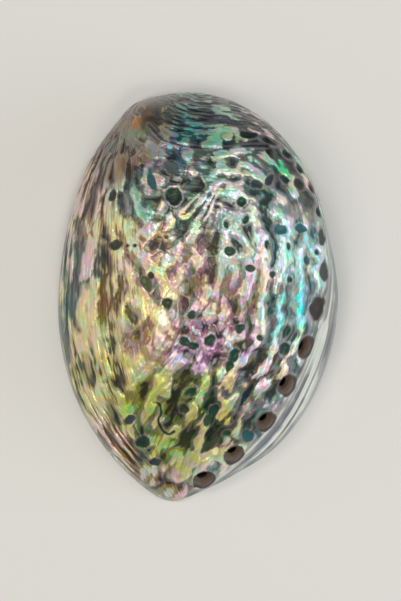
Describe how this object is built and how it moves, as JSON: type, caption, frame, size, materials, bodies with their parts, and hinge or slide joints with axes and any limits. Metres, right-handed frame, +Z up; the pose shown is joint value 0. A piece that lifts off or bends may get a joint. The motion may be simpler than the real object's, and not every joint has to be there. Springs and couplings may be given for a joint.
{
  "type": "abalone shell",
  "caption": "Polished abalone shell: a deep ear-shaped dome of mother-of-pearl with a low spire, a row of breathing holes down one side and an open hollow beneath.",
  "frame": {"origin": "middle of the footprint, on the ground edge of the mouth", "axes": "+Z up through the dome, +Y along the length towards the spire, +X towards the side of the breathing holes"},
  "size_m": [0.103, 0.15, 0.042],
  "materials": {
    "nacre": "polished iridescent mother-of-pearl"
  },
  "bodies": {
    "root": {"shell": "nacre"}
  },
  "joints": []
}
